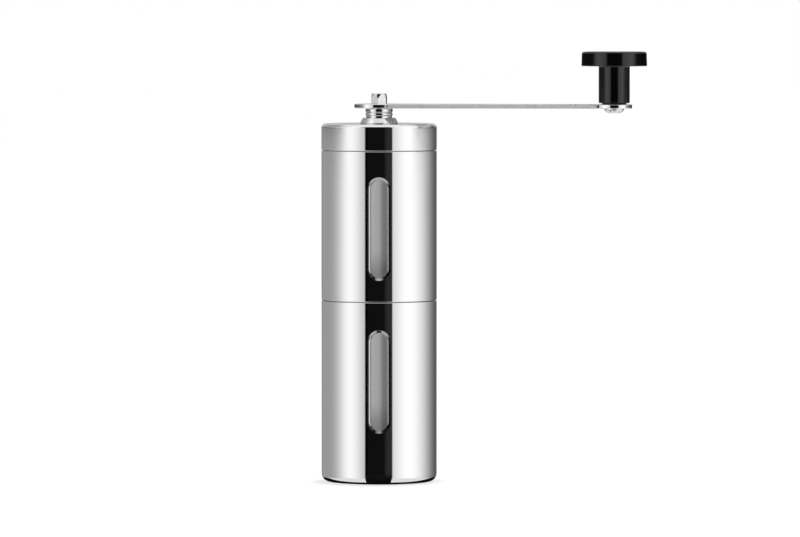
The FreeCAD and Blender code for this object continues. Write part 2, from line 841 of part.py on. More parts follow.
# Turned fittings in the lid's centre: collar, its push-on ring, and the guide bush
lid_collar = turned("lid_collar", [
    ("collar_bore", "collar_tube_base"),
    ("collar_tube", "collar_tube_base"),
    ("collar_tube", "lid_top"),
    ("flange_radius", "lid_top"),
    ("flange_shoulder", "flange_top"),
    ("collar_bore", "flange_top"),
])
bevel(lid_collar, [4], "collar_bevel")
collar_ring = tube(
    "collar_ring", "collar_tube", "nut_ring", "plug_floor - nut_ring_height", "plug_floor"
)
lid_bush = turned("lid_bush", [
    ("guide_bore", "stem_base"),
    ("stem_radius", "stem_base"),
    ("stem_radius", "groove_base"),
    ("stem_groove", "groove_base"),
    ("stem_groove", "collar_tube_base"),
    ("stem_radius", "collar_tube_base"),
    ("stem_radius", "flange_top"),
    ("neck_radius", "flange_top"),
    ("neck_radius", "neck_top"),
    ("bead_radius", "neck_top"),
    ("bead_radius", "bead_top"),
    ("neck_radius", "bead_top"),
    ("neck_radius", "cap_base"),
    ("bead_radius", "cap_base"),
    ("bead_radius", "cap_top"),
    ("guide_bore", "cap_top"),
])
bevel(lid_bush, [9, 10, 13, 14], "bead_bevel")
bush_clip = tube(
    "bush_clip", "stem_groove", "collar_tube", "groove_base", "collar_tube_base"
)


# Crank: a flat arm, wide at the shaft, with a round end for the knob
def crank_arm():
    """Arm outline of two round ends and two slanting sides, and its two holes."""
    body = doc.addObject("PartDesign::Body", "crank_arm")
    sketch = new_sketch(body, "arm_outline", "XY_Plane", "arm_base")
    hub, tip, reach = size("arm_hub"), size("arm_tip"), size("arm_reach")
    lean = math.asin(size("arm_root_half") / hub)
    narrow = math.asin(size("arm_tip_half") / tip)
    hub_circle = Part.Circle(FreeCAD.Vector(), UP, hub)
    tip_circle = Part.Circle(FreeCAD.Vector(reach, 0, 0), UP, tip)
    hub_arc = Part.ArcOfCircle(hub_circle, lean, 2 * math.pi - lean)
    tip_arc = Part.ArcOfCircle(tip_circle, narrow - math.pi, math.pi - narrow)
    sketch.addGeometry(hub_arc, False)
    sketch.addGeometry(Part.LineSegment(hub_arc.EndPoint, tip_arc.StartPoint), False)
    sketch.addGeometry(tip_arc, False)
    sketch.addGeometry(Part.LineSegment(tip_arc.EndPoint, hub_arc.StartPoint), False)
    for piece in range(4):
        sketch.addConstraint(Sketcher.Constraint("Coincident", piece, 2, (piece + 1) % 4, 1))
    hold(sketch, 2, 3, "arm_reach", "0")
    sketch.addConstraint(Sketcher.Constraint("Coincident", 0, 3, -1, 1))
    for arc, radius in ((0, "arm_hub"), (2, "arm_tip")):
        rule = Sketcher.Constraint("Radius", arc, size(radius))
        bind(sketch, "Constraints[%d]" % sketch.addConstraint(rule), radius)
    for arc, half in ((0, "arm_root_half"), (2, "arm_tip_half")):
        for end, sign in ((1, 1), (2, -1)):
            side = sign if arc == 0 else -sign
            rule = Sketcher.Constraint("DistanceY", -1, 1, arc, end, side * size(half))
            words = half if side > 0 else "-" + half
            bind(sketch, "Constraints[%d]" % sketch.addConstraint(rule), words)
    pad(body, sketch, "arm_thickness")

    def inside_corner(edge):
        ends = edge.Vertexes
        upright = len(ends) == 2 and abs(ends[0].Z - ends[1].Z) > size("arm_thickness") / 2
        return upright and 0 < ends[0].X

    soften(body, "Fillet", edges_where(body, inside_corner), "arm_blend")
    long_faces = {size("arm_base"), size("arm_base") + size("arm_thickness")}

    def rim(edge):
        return any(abs(edge.BoundBox.ZMin - level) < NEAR and edge.BoundBox.ZLength < NEAR
                   for level in long_faces)

    soften(body, "Chamfer", edges_where(body, rim), "arm_bevel")
    socket = new_sketch(body, "arm_hexagon", "XY_Plane", "arm_base")
    wide = "(drive_across / 2 + drive_play)"
    short = "(drive_across / 2 + drive_play) / sqrt(3)"
    draw_outline(socket, [
        (wide, "-" + short), (wide, short), ("0", "2 * " + short),
        ("-" + wide, short), ("-" + wide, "-" + short), ("0", "-2 * " + short),
    ])
    cut(body, socket, "arm_thickness")
    pin_hole = new_sketch(body, "arm_pin_hole", "XY_Plane", "arm_base")
    draw_circle(pin_hole, "spindle_radius + press_play", "arm_reach")
    cut(body, pin_hole, "arm_thickness")
    turn_with_crank(body)


crank_arm()

# Knob spindle and what holds the knob on it
knob_spindle = turned("knob_spindle", [
    ("0", "head_base"),
    ("head_face", "head_base"),
    ("head_shoulder", "head_shoulder_height"),
    ("head_rim", "head_rim_height"),
    ("head_rim", "arm_base"),
    ("spindle_radius", "arm_base"),
    ("spindle_radius", "knob_clip_base"),
    ("spindle_groove", "knob_clip_base"),
    ("spindle_groove", "knob_clip_top"),
    ("spindle_radius", "knob_clip_top"),
    ("spindle_radius", "spindle_top"),
    ("0", "spindle_top"),
])
knob_washer = tube(
    "knob_washer",
    "spindle_radius + running_gap",
    "knob_washer",
    "arm_base + arm_thickness",
    "knob_base - running_gap",
)
knob_clip = tube(
    "knob_clip", "spindle_groove", "knob_clip", "knob_clip_base", "knob_clip_top"
)

# Knob: a flat round cap on a stem, with a bore, a pocket and a plug over the spindle's end
knob_grip = turned("knob_grip", [
    ("knob_bore", "knob_base"),
    ("knob_stem", "knob_base"),
    ("knob_stem", "knob_flare"),
    ("knob_rim", "knob_flare"),
    ("knob_face", "knob_top"),
    ("knob_pocket", "knob_top"),
    ("knob_pocket", "knob_pocket_base"),
    ("knob_bore", "knob_pocket_base"),
])
round_off(knob_grip, [4], "knob_round")
bevel(knob_grip, [1, 3], "knob_bevel")
knob_plug = turned("knob_plug", [
    ("0", "knob_plug_base"),
    ("knob_pocket - press_play", "knob_plug_base"),
    ("knob_pocket - press_play", "knob_top"),
    ("0", "knob_top"),
])
for piece in (knob_spindle, knob_washer, knob_clip, knob_grip, knob_plug):
    turn_with_crank(piece, size("arm_reach"))


def arc_from(start, along, end):
    """The arc that leaves start in direction along and reaches end, and its middle point."""
    chord = end - start
    inward = (chord - along * chord.dot(along)).normalize()
    radius = chord.Length ** 2 / (2 * chord.dot(inward))
    centre = start + inward * radius
    middle = centre + ((start + end) / 2 - centre).normalize() * radius
    return Part.Arc(start, middle, end).toShape()


def coil_path(radius, base, top, turns):
    """A helix as pairs of tangent arcs, one pair to each quarter turn."""
    steps = 4 * turns
    pitch = (top - base) / (2 * math.pi * turns)
    places, headings = [], []
    for step in range(steps + 1):
        angle = math.pi / 2 * step
        round_part = FreeCAD.Vector(math.cos(angle), math.sin(angle), 0) * radius
        places.append(round_part + UP * (base + pitch * angle))
        ahead = FreeCAD.Vector(-math.sin(angle) * radius, math.cos(angle) * radius, pitch)
        headings.append(ahead.normalize())
    edges = []
    for here, there, leave, arrive in zip(places, places[1:], headings, headings[1:]):
        span, both = there - here, leave + arrive
        bend = 2 * (1 - leave.dot(arrive))
        reach = (-span.dot(both) + math.sqrt(span.dot(both) ** 2 + bend * span.dot(span))) / bend
        joint = (here + leave * reach + there - arrive * reach) / 2
        edges.append(arc_from(here, leave, joint))
        edges.append(arc_from(joint, (joint - here - leave * reach).normalize(), there))
    return Part.Wire(edges)


def burr_spring_shape():
    """Coil of square wire between the burr's core and the spring seat."""
    half, radius, turns = size("spring_wire") / 2, size("spring_radius"), int(size("spring_turns"))
    low = size("core_top") + half + size("spring_play")
    seat_base = size("hub_base") - 2 * size("running_gap") - size("washer_thickness")
    high = seat_base - half - size("spring_play")
    path = coil_path(radius, low, high, turns)
    pitch = (high - low) / turns
    print("burr_spring: least gap between turns %.2f mm" % (pitch - 2 * half))
    corners = [FreeCAD.Vector(radius + side * half, 0, low + up * half)
               for side, up in ((-1, -1), (-1, 1), (1, 1), (1, -1), (-1, -1))]
    sweep = Part.BRepOffsetAPI.MakePipeShell(path)
    sweep.setBiNormalMode(UP)
    sweep.add(Part.makePolygon(corners))
    sweep.build()
    sweep.makeSolid()
    return outward(sweep.shape())


burr_spring = shape_node("burr_spring", burr_spring_shape())

NODES = [
    "lower_shell", "lower_liner",
    "upper_shell", "upper_liner", "burr_holder", "joint_seal", "outer_burr", "burr_retainer",
    "retainer_screws", "lower_bush", "shaft_bridge", "upper_bush",
    "lid_shell", "lid_insert", "lid_seal", "lid_collar", "collar_ring", "lid_bush", "bush_clip",
    "drive_shaft", "thrust_washer", "shaft_clip", "spring_seat", "burr_spring",
    "burr_core", "inner_burr", "nut_washer", "adjust_nut", "nut_insert",
    "crank_arm", "knob_spindle", "knob_washer", "knob_clip",
    "knob_grip", "knob_plug",
]


def export_all():
    """Check every object, then write each sub-part to its own file."""
    doc.recompute()
    for thing in doc.Objects:
        if {"Invalid", "Error"} & set(thing.State):
            raise RuntimeError("%s failed: %s" % (thing.Name, thing.State))
    os.makedirs("parts", exist_ok=True)
    for name in NODES:
        node = doc.getObject(name)
        if node.Shape.isNull() or not node.Shape.isValid():
            raise RuntimeError(name + " has no valid shape")
        node.Label = name
        node.Shape.exportStep("parts/%s.step" % name)
        box = node.Shape.BoundBox
        print("%-16s %9.1f mm3  z %7.2f to %7.2f" % (name, node.Shape.Volume, box.ZMin, box.ZMax))


export_all()
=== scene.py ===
# %% [markdown]
# # A hand coffee grinder in polished steel
#
# The grinder stands on its flat bottom at the origin, with its drive shaft up the Z axis.
# The imported model gives every piece its real size and place. This lesson dresses that model:
# the main pieces that show get a smooth surface worked out with numpy, and each finish gets a
# node material. Nothing is moved or resized.

# %% Load the imported model
import json
import math

import bpy
import numpy as np
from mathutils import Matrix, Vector
from mathutils.geometry import tessellate_polygon


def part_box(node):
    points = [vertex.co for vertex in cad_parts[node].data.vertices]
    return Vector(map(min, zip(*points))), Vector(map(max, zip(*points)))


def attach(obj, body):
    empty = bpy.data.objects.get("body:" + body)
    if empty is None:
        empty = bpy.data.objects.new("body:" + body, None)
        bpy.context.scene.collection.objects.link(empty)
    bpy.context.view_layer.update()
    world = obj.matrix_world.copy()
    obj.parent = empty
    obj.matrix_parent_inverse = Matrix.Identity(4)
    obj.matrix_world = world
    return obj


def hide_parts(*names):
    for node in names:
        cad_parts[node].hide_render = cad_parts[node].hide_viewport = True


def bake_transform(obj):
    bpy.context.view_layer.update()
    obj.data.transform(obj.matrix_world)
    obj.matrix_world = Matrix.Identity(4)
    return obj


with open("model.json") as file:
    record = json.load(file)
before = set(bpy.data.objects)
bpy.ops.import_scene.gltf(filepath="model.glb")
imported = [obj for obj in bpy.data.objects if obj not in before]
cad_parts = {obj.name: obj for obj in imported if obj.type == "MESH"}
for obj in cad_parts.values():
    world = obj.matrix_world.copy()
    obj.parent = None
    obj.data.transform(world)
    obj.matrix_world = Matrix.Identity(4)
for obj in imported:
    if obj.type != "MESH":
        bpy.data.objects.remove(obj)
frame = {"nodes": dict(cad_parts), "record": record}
NODES = frame["nodes"]
ROWS = {row["node"]: row for row in frame["record"]["subparts"]}
BODIES = frame["record"]["behaviour"]["bodies"]
BODY_OF = {node: body for body, group in BODIES.items() for node in group}
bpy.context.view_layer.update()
MM = 0.001

# %% [markdown]
# The camera comes first, because the picture is framed before anything is dressed. A product
# photographer steps far back with a long lens, so that the canister's sides stay parallel.
# Here the camera is 2.8 m away and a little above the lid.

# %% The camera
IMAGE_WIDTH = 800
PIXEL = 0.4337 * MM
CAMERA_PLACE = Vector((9.05, -2800, 215.3)) * MM
LOOK_AT = Vector((9.05, 0, 92.3)) * MM
SENSOR_WIDTH = 36
CLIP_START, CLIP_END = 0.1, 50


def put(name, data):
    """An object with this data, in the scene."""
    thing = bpy.data.objects.new(name, data)
    bpy.context.scene.collection.objects.link(thing)
    return thing


def make_camera():
    """A long lens whose picture is IMAGE_WIDTH pixels of PIXEL metres wide at the object."""
    data = bpy.data.cameras.new("camera")
    camera = put("camera", data)
    sight = LOOK_AT - CAMERA_PLACE
    camera.location = CAMERA_PLACE
    camera.rotation_euler = sight.to_track_quat("-Z", "Y").to_euler()
    data.sensor_width = SENSOR_WIDTH
    data.lens = SENSOR_WIDTH * sight.length / (IMAGE_WIDTH * PIXEL)
    data.clip_start, data.clip_end = CLIP_START, CLIP_END
    bpy.context.scene.camera = camera
    print("camera lens", round(data.lens, 1), "mm")


make_camera()

# %% [markdown]
# The finishes come next. Two effects are used in many of them, so each is a node group with
# inputs of its own: fine grain that runs one way, as polishing and brushing leave it, and
# soft smudges, as handling leaves them. Both read Object coordinates, so they stay on the
# piece when it moves.


# %% Helpers for node trees
def add_node(tree, kind, **settings):
    """A new node with these properties."""
    node = tree.nodes.new(kind)
    for key, value in settings.items():
        setattr(node, key, value)
    return node


def set_input(tree, socket, value):
    """Give an input a value, or link it to another node's output."""
    if isinstance(value, bpy.types.NodeSocket):
        tree.links.new(value, socket)
    else:
        socket.default_value = value


def feed(tree, node, **inputs):
    """Set a node's inputs by name."""
    for name, value in inputs.items():
        set_input(tree, node.inputs[name.replace("_", " ")], value)
    return node


def maths(tree, kind, operation, values):
    """The outputs of a maths node on values or outputs, in their order."""
    node = add_node(tree, kind, operation=operation)
    for socket, value in zip(node.inputs, values):
        set_input(tree, socket, value)
    return node.outputs


def calculate(tree, operation, *values):
    """The result of a maths node on numbers."""
    return maths(tree, "ShaderNodeMath", operation, values)[0]


def calculate_vector(tree, operation, *values, result="Vector"):
    """The result of a maths node on vectors, which is a vector or a Value."""
    return maths(tree, "ShaderNodeVectorMath", operation, values)[result]


def times(tree, first, second):
    """The product. Of two masks it is the part that both cover."""
    return calculate(tree, "MULTIPLY", first, second)


def remap(tree, value, low, high, to_low=0.0, to_high=1.0):
    """Carry value smoothly from low..high to to_low..to_high, held at both ends."""
    node = add_node(tree, "ShaderNodeMapRange", interpolation_type="SMOOTHSTEP")
    feed(tree, node, Value=value, From_Min=low, From_Max=high, To_Min=to_low, To_Max=to_high)
    return node.outputs["Result"]


def lay_over(tree, level, new_level, mask):
    """Put new_level over level where mask is 1."""
    change = calculate(tree, "SUBTRACT", new_level, level)
    return calculate(tree, "ADD", level, times(tree, change, mask))


def coordinates(tree, kind="Object"):
    """Texture coordinates. The Object kind stays on a piece when it moves."""
    return add_node(tree, "ShaderNodeTexCoord").outputs[kind]


def split(tree, vector):
    """The outputs X, Y and Z of a vector."""
    return feed(tree, add_node(tree, "ShaderNodeSeparateXYZ"), Vector=vector).outputs


def new_material(name, **settings):
    """A material, its node tree, and its shader with these inputs."""
    material = bpy.data.materials.new(name)
    material.use_nodes = True
    tree = material.node_tree
    return material, tree, feed(tree, tree.nodes["Principled BSDF"], **settings)


def new_group(name, inputs, output):
    """A shader node group with inputs of (name, kind, default) and one float output."""
    tree = bpy.data.node_groups.new(name, "ShaderNodeTree")
    for label, kind, default in inputs:
        socket = tree.interface.new_socket(label, in_out="INPUT", socket_type=kind)
        socket.default_value = default
    tree.interface.new_socket(output, in_out="OUTPUT", socket_type="NodeSocketFloat")
    return tree, add_node(tree, "NodeGroupInput").outputs, add_node(tree, "NodeGroupOutput").inputs


# %% The grain group and the smudge group
def make_grain_group():
    """Noise stretched along one axis. Stretch holds its scale along X, Y and Z."""
    inputs = [("Stretch", "NodeSocketVector", (1.0, 1.0, 1.0))]
    tree, given, result = new_group("grain", inputs, "Height")
    scaled = calculate_vector(tree, "MULTIPLY", coordinates(tree), given["Stretch"])
    noise = add_node(tree, "ShaderNodeTexNoise")
    feed(tree, noise, Vector=scaled, Scale=1.0, Detail=3.0, Roughness=0.6)
    tree.links.new(noise.outputs["Fac"], result["Height"])
    return tree


def make_smudge_group():
    """Soft patches, mostly 0 and rising to Amount where the surface was touched."""
    inputs = [("Amount", "NodeSocketFloat", 1.0)]
    tree, given, result = new_group("smudge", inputs, "Mask")
    noise = add_node(tree, "ShaderNodeTexNoise")
    feed(tree, noise, Vector=coordinates(tree), Scale=50.0, Detail=4.0, Roughness=0.55)
    patchy = remap(tree, noise.outputs["Fac"], 0.48, 0.72)
    tree.links.new(times(tree, patchy, given["Amount"]), result["Mask"])
    return tree


GROUPS = {"grain": make_grain_group(), "smudge": make_smudge_group()}


def use_group(tree, name, **inputs):
    """The output of one of the groups, with its inputs set."""
    node = add_node(tree, "ShaderNodeGroup", node_tree=GROUPS[name])
    return feed(tree, node, **inputs).outputs[0]


print("node groups:", sorted(GROUPS))

# %% [markdown]
# Every finish here is one of two kinds. Steel and brass are bare metal: all their colour is in
# the reflection, and the grain is in the roughness and in a very shallow bump. Plastics,
# ceramic and silicone are moulded or fired: they have a body colour, an even fine texture, and
# a thin reflection on top. Real mirror steel still has a trace of its polishing lines.


# %% A finish with grain and smudges
POLISH_ROUGHNESS = 0.05
POLISH_EDGE = 1.5
GRAIN_LOW, GRAIN_HIGH = 0.3, 0.7
GRAIN_SHARE = 0.2


def polish_round(tree, rough, axes):
    """Polish the surface round upright axes of (x, y, radius), in millimetres."""
    for x, y, radius in axes:
        plan = calculate_vector(tree, "MULTIPLY", coordinates(tree), (1, 1, 0))
        away = calculate_vector(tree, "DISTANCE", plan, (x * MM, y * MM, 0), result="Value")
        near = remap(tree, away, radius * MM, (radius + POLISH_EDGE) * MM, 1.0, 0.0)
        rough = lay_over(tree, rough, POLISH_ROUGHNESS, near)
    return rough


def finish(name, colour, roughness, grain, depth, smudges=0.03, polished=(), **settings):
    """grain is the scale of the grain along X, Y and Z, and depth is its height in metres.

    polished holds the axes round which the surface is polished.
    """
    material, tree, shader = new_material(name, Base_Color=(*colour, 1.0), **settings)
    height = use_group(tree, "grain", Stretch=grain)
    smoothest, roughest = roughness * (1 - GRAIN_SHARE), roughness * (1 + GRAIN_SHARE)
    rough = remap(tree, height, GRAIN_LOW, GRAIN_HIGH, smoothest, roughest)
    rough = polish_round(tree, rough, polished)
    rough = calculate(tree, "ADD", rough, use_group(tree, "smudge", Amount=smudges))
    bump = feed(tree, add_node(tree, "ShaderNodeBump"), Height=height, Distance=depth)
    feed(tree, shader, Roughness=rough, Normal=bump.outputs["Normal"])
    return material


ARM_POLISH = ((-4, 0, 12.0), (101.44, -12.46, 8.5))
FINISHES = {
    "polished_steel": finish(
        "polished_steel", (0.84, 0.84, 0.85), 0.055, (300, 300, 9000), 1e-7, 0.01, Metallic=1.0),
    "turned_steel": finish(
        "turned_steel", (0.82, 0.82, 0.83), 0.05, (300, 300, 9000), 2e-7, Metallic=1.0),
    "satin_steel": finish(
        "satin_steel", (0.86, 0.86, 0.87), 0.85, (150, 5000, 5000), 1e-6, polished=ARM_POLISH,
        Metallic=1.0),
    "shaft_steel": finish(
        "shaft_steel", (0.76, 0.76, 0.77), 0.14, (5000, 5000, 300), 8e-7, Metallic=1.0),
    "rivet_steel": finish(
        "rivet_steel", (0.80, 0.80, 0.81), 0.10, (2500, 2500, 2500), 3e-7, Metallic=1.0),
    "spring_steel": finish(
        "spring_steel", (0.58, 0.58, 0.60), 0.24, (3000, 3000, 3000), 1e-6, Metallic=1.0),
    "bearing_brass": finish(
        "bearing_brass", (0.78, 0.58, 0.30), 0.22, (500, 500, 7000), 1e-6, Metallic=1.0),
    "frosted_plastic": finish(
        "frosted_plastic", (0.62, 0.63, 0.64), 0.45, (3500, 3500, 3500), 5e-6),
    "black_gloss": finish(
        "black_gloss", (0.003, 0.003, 0.003), 0.09, (900, 900, 900), 6e-7, Specular_IOR_Level=0.6),
    "black_nylon": finish(
        "black_nylon", (0.028, 0.028, 0.030), 0.42, (3500, 3500, 3500), 1e-5),
    "white_ceramic": finish(
        "white_ceramic", (0.84, 0.83, 0.79), 0.50, (4500, 4500, 4500), 6e-6),
    "clear_silicone": finish(
        "clear_silicone", (0.72, 0.73, 0.73), 0.45, (2500, 2500, 2500), 5e-6, Subsurface_Weight=0.3),
}


# %% Painted shade on the frosted plastic
LOWER_WINDOW, UPPER_WINDOW = 44.5, 110.3
PAINTED_SHADE_START = 22
PAINTED_SHADE_LOW, PAINTED_SHADE_SIDE = (2, 15), (-0.4, 2.3)
PAINTED_LOW_SHADE, PAINTED_SIDE_SHADE = 0.56, 0.50
UNSHADED_LEVEL = 0.64


def add_painted_window_shade(material):
    """Painted shade in the colour, darker towards the right side and low end of each window.

    It starts at PAINTED_SHADE_START for the lower window, and repeats for the upper one.
    """
    tree = material.node_tree
    place = split(tree, coordinates(tree))
    above = calculate(tree, "SUBTRACT", place["Z"], PAINTED_SHADE_START * MM)
    height = calculate(tree, "FLOORED_MODULO", above, (UPPER_WINDOW - LOWER_WINDOW) * MM)
    # Painted shade: the colour darkens towards each window's right side and its low end.
    side = remap(tree, place["X"], *(limit * MM for limit in PAINTED_SHADE_SIDE), 1.0, PAINTED_SIDE_SHADE)
    low = remap(tree, height, *(limit * MM for limit in PAINTED_SHADE_LOW), PAINTED_LOW_SHADE, 1.0)
    level = times(tree, times(tree, side, low), UNSHADED_LEVEL)
    tone = feed(tree, add_node(tree, "ShaderNodeCombineColor"), Red=level, Green=level, Blue=level)
    feed(tree, tree.nodes["Principled BSDF"], Base_Color=tone.outputs["Color"])


# The liners get painted shade in their colour at each window.
add_painted_window_shade(FINISHES["frosted_plastic"])
for node, piece in NODES.items():
    piece.data.materials.clear()
    piece.data.materials.append(FINISHES[ROWS[node]["material_slot"]])
print(len(FINISHES), "finishes on", len(NODES), "nodes")

# %% [markdown]
# A mirror finish shows every flaw of a mesh, so the visible pieces aren't shaded from their
# faces. Each piece is a set of patches. A patch is a grid of points with the true normal at
# each point, worked out from the same formula as the point. Points that meet are welded, so
# the mesh is closed, and the true normals are kept on the corners of its faces.

# %% Patches and how they become one piece
WELD = 1e-7


def grid_quads(rows, columns):
    """Corner numbers of the quads of a grid of points."""
    index = np.arange(rows * columns).reshape(rows, columns)
    corners = index[:-1, :-1], index[1:, :-1], index[1:, 1:], index[:-1, 1:]
    return np.stack(corners, -1).reshape(-1, 4)


def outward(points, normals, faces):
    """Turn each face round where its own normal opposes the mean of those given."""
    corners = points[faces]
    across = np.cross(corners[:, 2] - corners[:, 0], corners[:, -1] - corners[:, 1])
    wrong = np.einsum("ij,ij->i", across, normals[faces].mean(axis=1)) < 0
    return np.where(wrong[:, None], faces[:, ::-1], faces)


def flat_cap(loops, height, upward):
    """A flat face at one height: points, normals and triangles of an outline with its holes."""
    chains = [[Vector((*spot, 0)) for spot in loop] for loop in loops]
    triangles = np.array(tessellate_polygon(chains), dtype=int)
    flat = np.concatenate(loops)
    points = np.column_stack([flat, np.full(len(flat), height)]) * MM
    return points, np.tile((0.0, 0.0, upward), (len(points), 1)), triangles


def drop_repeats(face, place):
    """The face without corners that were welded to the one before, or None if too few stay."""
    kept = [corner for step, corner in enumerate(face) if place[corner] != place[face[step - 1]]]
    return kept if len({place[corner] for corner in kept}) == len(kept) > 2 else None


def make_piece(name, patches, node, rides=True):
    """Weld patches into one object that stands for a CAD node, in its finish.

    It moves with the node's body, unless rides is False.
    """
    points, normals, faces = [], [], []
    for patch in patches:
        spots, ways = (part.reshape(-1, 3) for part in patch[:2])
        shapes = patch[2] if len(patch) == 3 else grid_quads(*patch[0].shape[:2])
        faces.append(outward(spots, ways, shapes) + sum(map(len, points)))
        points.append(spots)
        normals.append(ways)
    points, normals = np.concatenate(points), np.concatenate(normals)
    cells = np.round(points / WELD).astype(np.int64)
    _, first, place = np.unique(cells, axis=0, return_index=True, return_inverse=True)
    place = place.reshape(-1)
    kept = []
    for group in faces:
        welded = place[group]
        whole = np.all(welded != np.roll(welded, 1, axis=1), axis=1)
        trimmed = (drop_repeats(face, place) for face in group[~whole].tolist())
        kept += group[whole].tolist() + [face for face in trimmed if face]
    mesh = bpy.data.meshes.new(name)
    mesh.from_pydata(points[first].tolist(), [], [place[face].tolist() for face in kept])
    mesh.polygons.foreach_set("use_smooth", [True] * len(kept))
    mesh.normals_split_custom_set([normals[corner] for face in kept for corner in face])
    mesh.materials.append(FINISHES[ROWS[node]["material_slot"]])
    piece = put(name, mesh)
    if rides:
        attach(piece, BODY_OF[node])
    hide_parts(node)
    print(name, "has", len(kept), "faces")
    return piece


# %% [markdown]
# Most pieces of the grinder are turned. A turned piece needs only its outline, as corners of
# radius and height, and how far each corner is rounded. A rounded corner becomes an arc that
# runs smoothly into both sides, and a sharp one breaks the surface, so light breaks there too.

# %% Outlines with rounded corners
ARC_STEPS = 10


def trace(corners):
    """Smooth stretches of an open outline of (radius, height, rounding), in millimetres.

    The solid is on the left of the way, so the outward normal is the way turned to the right.
    An arc of radius q touches both sides q * tan(half the turn) away from their corner.
    """
    spots = np.array([corner[:2] for corner in corners], float)
    ways = np.diff(spots, axis=0)
    ways /= np.linalg.norm(ways, axis=1)[:, None]
    outs = np.column_stack([ways[:, 1], -ways[:, 0]])
    done, points, normals = [], [spots[0]], [outs[0]]
    for step in range(1, len(spots) - 1):
        before, after = ways[step - 1], ways[step]
        rounding = corners[step][2] if len(corners[step]) > 2 else 0
        if rounding:
            turn = math.atan2(before[0] * after[1] - before[1] * after[0], before.dot(after))
            side = math.copysign(1, turn)
            start = spots[step] - before * rounding * math.tan(abs(turn) / 2)
            centre = start - outs[step - 1] * side * rounding
            first = math.atan2(outs[step - 1][1] * side, outs[step - 1][0] * side)
            angles = first + turn * np.linspace(0, 1, ARC_STEPS + 1)
            ring = np.column_stack([np.cos(angles), np.sin(angles)])
            points += list(centre + ring * rounding)
            normals += list(ring * side)
        else:
            done.append((points + [spots[step]], normals + [outs[step - 1]]))
            points, normals = [spots[step]], [outs[step]]
    done.append((points + [spots[-1]], normals + [outs[-1]]))
    return [(np.array(spot) * MM, np.array(way)) for spot, way in done]


def closed(corners):
    """Stretches of a closed outline, which starts and ends halfway along its last side."""
    last, first = np.array(corners[-1][:2], float), np.array(corners[0][:2], float)
    middle = tuple((last + first) / 2)
    return trace([middle, *corners, middle])


# %% Turning an outline round an axis
LARGE_RADIUS = 10.0
LARGE_STEPS, SMALL_STEPS = 192, 96


def around(radius):
    """Angles of a full turn, in finer steps for a piece of more than LARGE_RADIUS."""
    return np.linspace(0, 2 * math.pi, 1 + (LARGE_STEPS if radius > LARGE_RADIUS else SMALL_STEPS))


def carry(stretch, places, ways):
    """Carry a stretch along places in plan, its radius measured along ways."""
    (reach, height), (out, up) = (part.T[:, :, None] for part in stretch)
    flat = np.ones(len(places))[None, :]
    points = [places[:, axis] * MM + reach * ways[:, axis] for axis in (0, 1)]
    normals = [out * ways[:, axis] for axis in (0, 1)]
    return np.stack([*points, height * flat], -1), np.stack([*normals, up * flat], -1)


def spin(stretch, angles=None, centre=(0, 0)):
    """Turn a stretch about the upright through centre. Angle 0 faces the windows, -Y."""
    if angles is None:
        angles = around(stretch[0][:, 0].max() / MM)
    ways = np.column_stack([np.sin(angles), -np.cos(angles)])
    return carry(stretch, np.tile(centre, (len(angles), 1)), ways)


def off_axis(stretches):
    """The stretches without those that lie on the axis, which would turn into nothing."""
    return [stretch for stretch in stretches if stretch[0][:, 0].max() > WELD]


def turned(name, node, corners, centre=(0, 0)):
    """A turned piece from its closed outline."""
    angles = around(max(corner[0] for corner in corners))
    patches = [spin(stretch, angles, centre) for stretch in off_axis(closed(corners))]
    make_piece(name, patches, node)


# %% [markdown]
# The steel tubes are the main form. Each has an upright window with round ends, and a rim that
# the press drew inwards. The wall is a grid of angles and heights with a rectangle left out,
# and the rectangle is filled with rings that start as the window's own outline and end as the
# rectangle. Because the rings share the grid's own angles and heights, no seam shows.

# %% Rings round a window
BODY_RADIUS, WALL = 25.0, 0.8
INNER = BODY_RADIUS - WALL
WINDOW_WIDTH, WINDOW_LENGTH = 9.85, 44.6
HALF_WINDOW = WINDOW_WIDTH / 2
RIM_WIDTH, RIM_SINK = 1.08, 0.457
RIM_STEPS, RIM_EASE = 14, 0.05
BORDER, BORDER_STEPS = 9.0, 6
END_PARTS, SIDE_PARTS = 36, 10


def stadium():
    """Directions and middles round a stadium, once round from its right side by its top."""
    straight = (WINDOW_LENGTH - WINDOW_WIDTH) / 2
    bend = np.linspace(0, math.pi, END_PARTS + 1)[:-1]
    down = np.linspace(straight, -straight, SIDE_PARTS + 1)[:-1]
    still = np.zeros(SIDE_PARTS)
    way_x = np.concatenate([np.cos(bend), still - 1, -np.cos(bend), still + 1, [1]])
    way_z = np.concatenate([np.sin(bend), still, -np.sin(bend), still, [0]])
    end = np.full(END_PARTS, straight)
    return way_x, way_z, np.concatenate([end, down, -end, -down, [straight]])


WAY_X, WAY_Z, MIDDLE = stadium()


def ring_places(distance, square):
    """Places across and up round the window, from its outline (square 0) to a rectangle (1)."""
    corner = 1 / np.maximum(np.abs(WAY_X), np.abs(WAY_Z))
    reach = distance * (1 + (corner - 1) * square)
    return WAY_X * reach, MIDDLE + WAY_Z * reach


def window_rings(centre, rings):
    """Rings of (distance, square, radius, lean) wrapped on the wall.

    The normal leans from straight out of the wall (0) towards the window's middle (90 degrees)
    and on to straight into the tube (180).
    """
    points, normals = [], []
    for distance, square, radius, lean in rings:
        across, up = ring_places(distance, square)
        angle = np.arcsin(across / BODY_RADIUS)
        side, front = np.sin(angle), -np.cos(angle)
        points.append(np.stack([radius * side, radius * front, centre + up], -1) * MM)
        out = np.stack([side, front, np.zeros_like(side)], -1)
        along = np.stack([-front * WAY_X, side * WAY_X, WAY_Z], -1)
        normals.append(out * math.cos(lean) - along * math.sin(lean))
    return np.array(points), np.array(normals)


